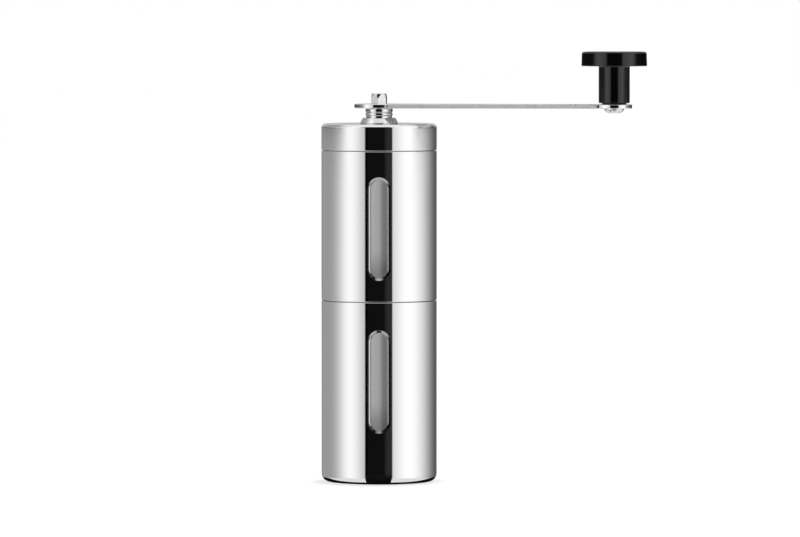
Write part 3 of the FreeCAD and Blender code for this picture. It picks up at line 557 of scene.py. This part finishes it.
def rim_rings():
    """Rings down the drawn rim. Its slope grows over the first part, RIM_EASE, and then stays."""
    travel = np.linspace(0, 1, RIM_STEPS)
    steep = 1 / (1 - RIM_EASE / 2)
    easing = steep * travel**2 / (2 * RIM_EASE)
    fall = np.where(travel < RIM_EASE, easing, steep * (travel - RIM_EASE / 2))
    slope = RIM_SINK / RIM_WIDTH * steep * np.minimum(travel / RIM_EASE, 1)
    return [(HALF_WINDOW - RIM_WIDTH * part, 0, BODY_RADIUS - RIM_SINK * drop, math.atan(lean))
            for part, drop, lean in zip(travel, fall, slope)]


def blend_rings(start, radius, lean):
    """Rings that open from the window's outline to the rectangle, flat on the wall."""
    parts = np.linspace(0, 1, BORDER_STEPS)
    return [(start + (BORDER - start) * part, part, radius, lean) for part in parts]


def window_patches(centre):
    """Everything inside the rectangle: wall, rim, the hole's edge and the inner wall."""
    hole = HALF_WINDOW - RIM_WIDTH
    edge = [(hole, 0, radius, math.pi / 2) for radius in (BODY_RADIUS - RIM_SINK, INNER)]
    return [
        window_rings(centre, blend_rings(HALF_WINDOW, BODY_RADIUS, 0)),
        window_rings(centre, rim_rings()),
        window_rings(centre, edge),
        window_rings(centre, blend_rings(hole, INNER, math.pi)),
    ]


# %% The wall round the window
REST_STEPS = 160
DIGITS = 9


def wall_patches(centre, low, high):
    """Outer and inner wall from low to high, without the rectangle, and the angles used."""
    across, up = ring_places(BORDER, 1)
    front = np.arcsin(np.unique(np.round(across, DIGITS)) / BODY_RADIUS)
    rest = np.linspace(front[-1], 2 * math.pi + front[0], REST_STEPS + 1)
    whole = np.concatenate([front, rest[1:]])
    levels = np.unique(np.round(centre + up, DIGITS))
    bands = ([low, levels[0]], whole), (levels, rest), ([levels[-1], high], whole)
    patches = []
    for radius, out in ((BODY_RADIUS, 1), (INNER, -1)):
        for heights, angles in bands:
            points = np.array([(radius * MM, height * MM) for height in heights])
            patches.append(spin((points, np.array([(out, 0)] * len(heights))), angles))
    return patches, whole


END_BAND = 1.0
OUTER_BREAK, INNER_BREAK = 0.3, 0.1


def steel_tube(name, node, centre, base_corners):
    """A windowed section. base_corners run from its inner wall round its base to the outer."""
    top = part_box(node)[1].z / MM
    high = top - END_BAND
    patches, whole = wall_patches(centre, base_corners[0][1], high)
    top_corners = [
        (BODY_RADIUS, high), (BODY_RADIUS, top, OUTER_BREAK), (INNER, top, INNER_BREAK), (INNER, high)]
    for corners in (base_corners, top_corners):
        patches += [spin(stretch, whole) for stretch in off_axis(trace(corners))]
    make_piece(name, patches + window_patches(centre), node)


FOOT_ROUND, INNER_FOOT_ROUND = 3.4, 2.6
FOOT_BAND = 4.0
UPPER_BASE = 78.8
steel_tube("lower_steel", "lower_shell", LOWER_WINDOW, [
    (INNER, FOOT_BAND), (INNER, WALL, INNER_FOOT_ROUND), (0, WALL),
    (0, 0), (BODY_RADIUS, 0, FOOT_ROUND), (BODY_RADIUS, FOOT_BAND)])
steel_tube("upper_steel", "upper_shell", UPPER_WINDOW, [
    (INNER, UPPER_BASE + END_BAND), (INNER, UPPER_BASE, INNER_BREAK),
    (BODY_RADIUS, UPPER_BASE, OUTER_BREAK), (BODY_RADIUS, UPPER_BASE + END_BAND)])

# %% [markdown]
# The lid is spun from one disc: a straight side, a rounded shoulder and a flat top with a hole
# for the fittings in its middle. Behind the windows stand two frosted liners, plain turned
# tubes. They make the windows read as hazy panes.

# %% Lid and liners
LID_BASE, LID_TOP = 143.8, 155.2
LID_INSIDE = LID_TOP - WALL
LID_HOLE, LID_SHOULDER = 5.9, 1.7
LINER_RADIUS = 24.1

turned("lid_steel", "lid_shell", [
    (INNER, LID_BASE, INNER_BREAK), (BODY_RADIUS, LID_BASE, OUTER_BREAK),
    (BODY_RADIUS, LID_TOP, LID_SHOULDER), (LID_HOLE, LID_TOP, 0.1),
    (LID_HOLE, LID_INSIDE), (INNER, LID_INSIDE, 1.2)])
turned("powder_liner", "lower_liner", [
    (0, WALL), (LINER_RADIUS, WALL, INNER_FOOT_ROUND), (LINER_RADIUS, 78.4, 0.3),
    (22.45, 78.4, 0.3), (22.45, 2.4, 1.2), (0, 2.4)])
turned("hopper_liner", "upper_liner", [
    (21.9, 85.0, 0.2), (LINER_RADIUS, 85.0, 0.3), (LINER_RADIUS, 143.2, 0.3),
    (22.5, 143.2, 0.3), (22.5, 135.0), (21.9, 135.0)])

# %% [markdown]
# In the lid's centre a conical collar holds a turned guide bush. These were cut on a lathe, so
# they are outlines again, with small radii where their sharp edges were taken off.

# %% Collar and guide bush
COLLAR_TOP, BUSH_TOP = 157.7, 161.6
BUSH_BORE, BUSH_FIT, BUSH_NECK, BUSH_RADIUS = 3.9, 4.95, 5.6, 5.9

turned("collar_cone", "lid_collar", [
    (5.0, 151.6), (5.8, 151.6, 0.2), (5.8, LID_TOP), (8.4, LID_TOP, 0.25),
    (7.2, COLLAR_TOP, 0.5), (5.0, COLLAR_TOP, 0.1)])
turned("guide_bush", "lid_bush", [
    (BUSH_BORE, 150.2), (BUSH_FIT, 150.2, 0.2), (BUSH_FIT, 150.8), (4.6, 150.8), (4.6, 151.6),
    (BUSH_FIT, 151.6), (BUSH_FIT, COLLAR_TOP), (BUSH_NECK, COLLAR_TOP), (BUSH_NECK, 158.5),
    (BUSH_RADIUS, 158.9, 1.1), (BUSH_RADIUS, 159.7, 1.1), (BUSH_NECK, 160.1), (BUSH_NECK, 160.3),
    (BUSH_RADIUS, 160.3, 0.2), (BUSH_RADIUS, BUSH_TOP, 0.2), (BUSH_BORE, BUSH_TOP, 0.15)])

# %% [markdown]
# The crank arm is a strip of steel with two round ends and a rounded edge all the way round.
# Its outline in plan is worked out from circles and tangents, and its edge is carried along
# that outline. The flat faces are then closed round the two holes.

# %% The arm's outline
CRANK_YAW = math.radians(-7.0)
REACH = 102.2
HUB, TIP = 10.7, 7.7
ROOT_HALF, TIP_HALF = 9.4, 6.0
BLEND = 9.0
END_STEPS, BLEND_STEPS = 30, 12
SAME = 1e-6


def arc(centre, radius, start, end, steps, hollow=False):
    """Points and outward ways along an arc. A hollow arc's ways point to its centre."""
    angles = np.linspace(start, end, steps)
    ring = np.column_stack([np.cos(angles), np.sin(angles)])
    return np.array(centre) + ring * radius, -ring if hollow else ring


def blend_centres(start, way, out, centre, radius):
    """Both centres of a blend that touches a straight side and, from outside, a round end."""
    offset = start + out * BLEND - centre
    half = offset.dot(way)
    spread = math.sqrt(half**2 - offset.dot(offset) + (radius + BLEND) ** 2)
    return [start + out * BLEND + way * (sign * spread - half) for sign in (-1, 1)]


def half_outline():
    """The arm's far half, from the tip's end to the hub's end, anticlockwise."""
    hub, tip = np.zeros(2), np.array([REACH, 0.0])
    start = tip + (-math.sqrt(TIP**2 - TIP_HALF**2), TIP_HALF)
    way = np.array([math.sqrt(HUB**2 - ROOT_HALF**2), ROOT_HALF]) - start
    way /= np.linalg.norm(way)
    out = np.array([way[1], -way[0]])
    near_tip = min(blend_centres(start, way, out, tip, TIP), key=lambda spot: spot[0])
    near_hub = max(blend_centres(start, way, out, hub, HUB), key=lambda spot: spot[0])
    tip_angle = math.atan2(*(near_tip - tip)[::-1])
    hub_angle = math.atan2(*(near_hub - hub)[::-1])
    side = math.atan2(-out[1], -out[0])
    return [
        arc(tip, TIP, 0, tip_angle, END_STEPS),
        arc(near_tip, BLEND, tip_angle - math.pi, side, BLEND_STEPS, hollow=True),
        arc(near_hub, BLEND, side, hub_angle - math.pi, BLEND_STEPS, hollow=True),
        arc(hub, HUB, hub_angle, math.pi, END_STEPS),
    ]


def arm_outline():
    """The whole outline, turned to the crank's own direction."""
    points, ways = (np.concatenate(parts) for parts in zip(*half_outline()))
    flip = np.array([1, -1])
    points = np.concatenate([points, points[::-1] * flip])
    ways = np.concatenate([ways, ways[::-1] * flip])
    fresh = np.linalg.norm(np.diff(points, axis=0, append=points[:1]), axis=1) > SAME
    cosine, sine = math.cos(CRANK_YAW), math.sin(CRANK_YAW)
    turn = np.array([[cosine, sine], [-sine, cosine]])
    return points[fresh] @ turn, ways[fresh] @ turn


ARM_LINE, ARM_WAYS = arm_outline()
KNOB_CENTRE = (REACH * math.cos(CRANK_YAW), REACH * math.sin(CRANK_YAW))
print("arm outline of", len(ARM_LINE), "points")

# %% The arm itself
ARM_BASE, ARM_TOP = 161.9, 163.7
ARM_ROUND, ARM_MARGIN = 0.35, 0.3
SOCKET_FLATS = 6.6
PIN_HOLE = 2.53


def hexagon(across):
    """Corners of a hexagon with two sides square to the crank."""
    angles = np.radians(np.arange(30, 390, 60)) + CRANK_YAW
    return np.column_stack([np.cos(angles), np.sin(angles)]) * across / math.sqrt(3)


def flat_sides(corners, low, high, inward=False):
    """Upright flat sides between neighbouring corners of an outline."""
    patches = []
    for first, second in zip(corners, np.roll(corners, -1, axis=0)):
        way = (second - first) / np.linalg.norm(second - first)
        out = np.array([way[1], -way[0]]) * (-1 if inward else 1)
        stretch = (np.array([(0, low), (0, high)]) * MM, np.array([(1, 0), (1, 0)]))
        patches.append(carry(stretch, np.array([first, second]), np.array([out, out])))
    return patches


def make_arm():
    """The strip: its rounded edge, both flat faces, and the sides of its two holes."""
    inset = ARM_ROUND + ARM_MARGIN
    line, ways = (np.concatenate([part, part[:1]]) for part in (ARM_LINE, ARM_WAYS))
    edge = trace([
        (-inset, ARM_BASE), (0, ARM_BASE, ARM_ROUND), (0, ARM_TOP, ARM_ROUND), (-inset, ARM_TOP)])
    socket = hexagon(SOCKET_FLATS)
    turns = around(PIN_HOLE)
    pin = np.array([(math.sin(turn), -math.cos(turn)) for turn in turns[:-1]]) * PIN_HOLE + KNOB_CENTRE
    patches = [carry(stretch, line, ways) for stretch in edge]
    for height, upward in ((ARM_BASE, -1.0), (ARM_TOP, 1.0)):
        patches.append(flat_cap([ARM_LINE - ARM_WAYS * inset, socket, pin], height, upward))
    patches += flat_sides(socket, ARM_BASE, ARM_TOP, inward=True)
    hole = trace([(PIN_HOLE, ARM_TOP), (PIN_HOLE, ARM_BASE)])
    patches += [spin(stretch, turns, KNOB_CENTRE) for stretch in hole]
    make_piece("crank_strip", patches, "crank_arm")


make_arm()

# %% [markdown]
# The knob is one black moulding: a stem and a broad flat cap. It turns on a domed rivet that
# was headed under the arm, and a plug covers the rivet's end in the cap.

# %% Knob, plug, washer and rivet
STEM_BASE, CAP_BASE, KNOB_TOP = 164.2, 180.2, 186.45
STEM_RADIUS, RIVET_RADIUS = 6.7, 2.5

turned("knob_black", "knob_grip", [
    (2.56, STEM_BASE), (STEM_RADIUS, STEM_BASE, 0.45), (STEM_RADIUS, CAP_BASE, 0.5),
    (14.15, CAP_BASE, 0.4), (13.95, KNOB_TOP, 0.8), (5.0, KNOB_TOP, 0.12), (5.0, 181.0),
    (2.56, 181.0)], KNOB_CENTRE)
turned("knob_cover", "knob_plug", [
    (0, 183.6), (4.97, 183.6), (4.97, KNOB_TOP, 0.2), (0, KNOB_TOP)], KNOB_CENTRE)
turned("knob_shim", "knob_washer", [
    (2.55, ARM_TOP), (5.2, ARM_TOP, 0.1), (5.2, 164.15, 0.1), (2.55, 164.15)], KNOB_CENTRE)
turned("knob_rivet", "knob_spindle", [
    (0, 159.9), (2.2, 159.9, 1.5), (3.7, 160.5, 1.0), (4.3, 161.55, 0.5), (4.3, ARM_BASE),
    (RIVET_RADIUS, ARM_BASE), (RIVET_RADIUS, 181.1), (2.0, 181.1), (2.0, 181.7),
    (RIVET_RADIUS, 181.7), (RIVET_RADIUS, 182.6, 0.3), (0, 182.6)], KNOB_CENTRE)

# %% [markdown]
# Inside, a coil spring presses the moving burr down on its nut. It is a round wire carried along
# a helix whose pitch eases to nothing at both ends, so that the end turns lie flat. It is built
# at its resting length and rides with no body. Its top
# stays with the shaft and its foot moves with the burr, so it bends between those two bodies.

# %% The burr's spring
WIRE, COIL_RADIUS, COIL_TURNS = 0.9, 4.0, 3
TURN_STEPS, WIRE_STEPS = 48, 16
LEVELLING = 0.6


def coil_patches(low, high):
    """Wire round the helix of radius COIL_RADIUS that rises from low to high, and its two ends.

    At turn angle a the wire's middle is at (cos a, sin a) times the radius. Its height grows as
    a plus part of a sine, which levels it off at both ends.
    """
    turn = np.linspace(0, 1, TURN_STEPS * COIL_TURNS + 1)
    angle = 2 * math.pi * COIL_TURNS * turn
    rise = turn - LEVELLING * np.sin(2 * math.pi * turn) / (2 * math.pi)
    flat = np.zeros_like(turn)
    out = np.stack([np.cos(angle), np.sin(angle), flat], -1)
    height = low + WIRE / 2 + (high - low - WIRE) * rise
    middle = out * COIL_RADIUS + np.stack([flat, flat, height], -1)
    along = np.gradient(middle, axis=0)
    along /= np.linalg.norm(along, axis=1)[:, None]
    up = np.cross(along, out)
    around_wire = np.linspace(0, 2 * math.pi, WIRE_STEPS + 1)[None, :, None]
    normals = out[:, None] * np.cos(around_wire) + up[:, None] * np.sin(around_wire)
    points = middle[:, None] + normals * WIRE / 2
    patches = [(points * MM, normals)]
    for end, way in ((0, -along[0]), (-1, along[-1])):
        disc = np.stack([np.tile(middle[end], (WIRE_STEPS + 1, 1)), points[end]])
        patches.append((disc * MM, np.tile(way, (2, WIRE_STEPS + 1, 1))))
    return patches


def make_coil():
    """The spring at its resting length, from the burr at its foot to the shaft."""
    low, high = (corner.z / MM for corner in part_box("burr_spring"))
    print("spring from", round(low, 2), "to", round(high, 2), "mm")
    coil = make_piece("burr_coil", coil_patches(low, high), "burr_spring", rides=False)
    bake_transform(coil)


make_coil()

# %% [markdown]
# Studio light comes last. A mirror only shows what stands round it, so the world holds the
# studio as reflections see it: white and grey cards, and a narrow black one in front of the
# camera that gives the canister its dark stripe. The camera itself sees plain white, and
# matt surfaces get a plain soft light and two lamps.

# %% Masks of the studio's cards
# A soft edge is (where it starts, where it is whole), a card is (low, high, how soft), and a
# step is (start, end, first level, last level). Azimuths and elevations are in degrees. Azimuth
# 0 is towards the camera, and positive azimuths are towards the crank. The hood is measured
# across by the sine of its angle to the side.
SOFT_CARDS = ((-60.0, 21.0, 0.77), (63.0, 34.0, 0.97))
WALLS = (
    (-180, -145, 0.22, 0.36), (-30, 30, 0.0, -0.13), (90, 150, 0.0, -0.15), (150, 180, 0.0, 0.12))
HORIZON_FOOT, HORIZON_SIDE, HORIZON_LEVEL = (-1.22, -1.13), (62, 88), 0.017
HORIZON_TOP = (135, 160, 4.0, 0.85)
BACK_FOOT, BACK_SIDE, BACK_LEVEL = (0.85, 1.0), (140, 170), 0.6
CEILING_FOOT, CEILING_LEVEL = (42, 54), 0.97
HOOD_ACROSS, HOOD_UP = (-0.46, 0.38, 0.25), (12, 42, 7)
HOOD_FRONT, HOOD_LEVEL = (0.0, 0.1), 0.01
STRIPE_ACROSS, STRIPE_TOP = (-28.2, 26.7, 2.0), (40, 20)
STRIPE_STEPS = ((-25, -22, 0.0, 0.0055), (8, 18, 0.0, 0.0225))
GROUND_TOP, GROUND_TONES = (-14, -34), (26, 34, 0.45, 0.85)


def bell(tree, value, centre, width):
    """A smooth rise to 1 at centre: the exponential of minus half of (distance / width) squared."""
    away = calculate(tree, "DIVIDE", calculate(tree, "SUBTRACT", value, centre), width)
    return calculate(tree, "EXPONENT", times(tree, times(tree, away, away), -0.5))


def edge_mask(tree, value, edge):
    """0 where the edge starts and 1 where it is whole, whichever of the two is lower."""
    start, whole = edge
    if start < whole:
        return remap(tree, value, start, whole)
    return remap(tree, value, whole, start, 1.0, 0.0)


def card_mask(tree, value, low, high, soft):
    """1 between low and high, with edges as wide as soft."""
    rise = edge_mask(tree, value, (low - soft / 2, low + soft / 2))
    return times(tree, rise, edge_mask(tree, value, (high + soft / 2, high - soft / 2)))


def sum_of_steps(tree, level, value, steps):
    """Add to level what each step of (start, end, first, last) gives at value."""
    for step in steps:
        level = calculate(tree, "ADD", level, remap(tree, value, *step))
    return level


# %% The studio that reflections see
def studio_level(tree):
    """How bright the studio is in each direction, card over card."""
    ray = split(tree, coordinates(tree, "Generated"))
    to_camera = times(tree, ray["Y"], -1.0)
    azimuth = calculate(tree, "DEGREES", calculate(tree, "ARCTAN2", ray["X"], to_camera))
    elevation = calculate(tree, "DEGREES", calculate(tree, "ARCSINE", ray["Z"]))
    around_it = calculate(tree, "ABSOLUTE", azimuth)

    # Two wide soft cards beside the camera, between grey walls
    level = 0.0
    for centre, width, bright in SOFT_CARDS:
        soft = times(tree, bell(tree, azimuth, centre, width), bright)
        level = calculate(tree, "ADD", level, soft)
    level = sum_of_steps(tree, level, azimuth, WALLS)

    # A thin dark line at the horizon, then the far wall and the ceiling
    sides = edge_mask(tree, around_it, HORIZON_SIDE)
    horizon = times(tree, edge_mask(tree, elevation, HORIZON_FOOT), sides)
    under_top = calculate(tree, "LESS_THAN", elevation, remap(tree, around_it, *HORIZON_TOP))
    level = lay_over(tree, level, HORIZON_LEVEL, times(tree, horizon, under_top))
    back = times(tree, edge_mask(tree, elevation, BACK_FOOT), edge_mask(tree, around_it, BACK_SIDE))
    level = lay_over(tree, level, BACK_LEVEL, back)
    level = lay_over(tree, level, CEILING_LEVEL, edge_mask(tree, elevation, CEILING_FOOT))

    # A black hood over the camera, and the black card that makes the stripe
    hood = times(tree, card_mask(tree, ray["X"], *HOOD_ACROSS), card_mask(tree, elevation, *HOOD_UP))
    hood = times(tree, hood, edge_mask(tree, to_camera, HOOD_FRONT))
    level = lay_over(tree, level, HOOD_LEVEL, hood)
    across = card_mask(tree, azimuth, *STRIPE_ACROSS)
    stripe = times(tree, across, edge_mask(tree, elevation, STRIPE_TOP))
    level = lay_over(tree, level, sum_of_steps(tree, 0.0, azimuth, STRIPE_STEPS), stripe)

    # The ground, in two tones
    ground = remap(tree, around_it, *GROUND_TONES)
    return lay_over(tree, level, ground, edge_mask(tree, elevation, GROUND_TOP))


AMBIENT = 0.12


def make_world():
    """White to the camera, the studio to reflections, and a plain level to matt surfaces."""
    world = bpy.data.worlds.new("studio")
    bpy.context.scene.world = world
    world.use_nodes = True
    tree = world.node_tree
    path = add_node(tree, "ShaderNodeLightPath").outputs
    mirror = calculate(tree, "MAXIMUM", path["Is Glossy Ray"], path["Is Transmission Ray"])
    level = lay_over(tree, AMBIENT, studio_level(tree), mirror)
    level = lay_over(tree, level, 1.0, path["Is Camera Ray"])
    feed(tree, tree.nodes["Background"], Color=(1, 1, 1, 1), Strength=level)


make_world()

# %% Lamps
LAMP_AWAY = 1.6
LAMP_AIM = Vector((0, 0, 0.09))


def direction(azimuth, elevation):
    """The unit vector towards an azimuth and elevation, azimuth 0 being the camera's side."""
    turn, rise = math.radians(azimuth), math.radians(elevation)
    return Vector((math.sin(turn) * math.cos(rise), -math.cos(turn) * math.cos(rise), math.sin(rise)))


def lamp(name, azimuth, elevation, level, size):
    """A square soft lamp that lights a facing surface to level times its colour."""
    data = bpy.data.lights.new(name, "AREA")
    data.shape, data.size = "SQUARE", size
    data.energy = level * (math.pi * LAMP_AWAY) ** 2
    light = put(name, data)
    way = direction(azimuth, elevation)
    light.location = LAMP_AIM + way * LAMP_AWAY
    light.rotation_euler = (-way).to_track_quat("-Z", "Y").to_euler()
    light.visible_glossy = False
    print("lamp", name, "at", [round(place, 2) for place in light.location])


# %% Floor, and what the foot reflects
FLOOR_RADIUS, FLOOR_HEIGHT, SHEET_HEIGHT = 6, -2e-4, -1.5e-4
CIRCLE_STEPS = 96
# The floor's glow to the camera drops from 1.0 to 0.75 next to the foot: painted shade round the foot,
# as well as the lamps' real shadow.
GLOW_AND_PAINTED_FOOT_SHADE = (0.0245, 0.036, 0.75, 1.0)
SHADOW_RADIUS, SHADOW_SIDES, SHADOW_POWER = 24.0, 3.5, 6
CARD_LEFT, CARD_RIGHT, CARD_STEPS = -27, 25, 15
CARD_NEAR, CARD_LENGTH = 23.5, 60


def flat_sheet(name, spots, height, material):
    """A flat thing with this outline, in metres."""
    mesh = bpy.data.meshes.new(name)
    mesh.from_pydata([(x, y, height) for x, y in spots], [], [list(range(len(spots)))])
    mesh.materials.append(material)
    return put(name, mesh)


def circle():
    """Angles of a full turn without its end."""
    return np.linspace(-math.pi, math.pi, CIRCLE_STEPS + 1)[:-1]


def make_floor():
    """A wide white disc under the object: matt to light, and near white to the camera, with painted
    shade next to the foot where its glow is lower.
    """
    material, tree, shader = new_material(
        "floor_white", Base_Color=(0.25, 0.25, 0.25, 1), Roughness=1.0, Specular_IOR_Level=0.0,
        Emission_Color=(1, 1, 1, 1))
    seen = add_node(tree, "ShaderNodeLightPath").outputs["Is Camera Ray"]
    away = calculate_vector(tree, "LENGTH", coordinates(tree), result="Value")
    feed(tree, shader, Emission_Strength=times(tree, seen, remap(tree, away, *GLOW_AND_PAINTED_FOOT_SHADE)))
    ring = [(FLOOR_RADIUS * math.cos(angle), FLOOR_RADIUS * math.sin(angle)) for angle in circle()]
    floor = flat_sheet("floor", ring, FLOOR_HEIGHT, material)
    floor.visible_glossy = False


def painted_shadow_outline():
    """A painted shadow under the foot: a black sheet's outline, which reaches further out at the
    sides.
    """
    turn = circle()
    radii = (SHADOW_RADIUS + SHADOW_SIDES * np.sin(turn) ** SHADOW_POWER) * MM
    return np.column_stack([radii * np.sin(turn), -radii * np.cos(turn)])


def card_outline():
    """The black card's lower end, a wedge in front of the foot.

    A wall that faces half an angle reflects that whole angle. So each ray of the wedge starts
    at half its angle round the foot, and the stripe in the wall stays equally wide.
    """
    fan = np.radians(np.linspace(CARD_LEFT, CARD_RIGHT, CARD_STEPS))
    near = np.column_stack([np.sin(fan / 2), -np.cos(fan / 2)]) * CARD_NEAR
    far = near + np.column_stack([np.sin(fan), -np.cos(fan)]) * CARD_LENGTH
    return np.concatenate([near, far[::-1]]) * MM


def make_foot_sheets():
    """Two black sheets on the floor that show only in reflections: a painted shadow under the foot,
    and the black card's end.
    """
    material = new_material(
        "shadow_black", Base_Color=(0.02, 0.02, 0.02, 1), Roughness=1.0, Specular_IOR_Level=0.0)[0]
    # The first sheet is a painted shadow: black where the floor under the foot is in shade.
    for name, spots in (("painted_foot_shadow", painted_shadow_outline()), ("card_end", card_outline())):
        sheet = flat_sheet(name, spots, SHEET_HEIGHT, material)
        sheet.visible_camera = sheet.visible_diffuse = sheet.visible_shadow = False


lamp("key_left", -42, 2, 0.75, 0.5)
lamp("fill_back", 150, 40, 0.6, 0.9)
make_floor()
make_foot_sheets()
bpy.context.scene.view_settings.view_transform = "Standard"
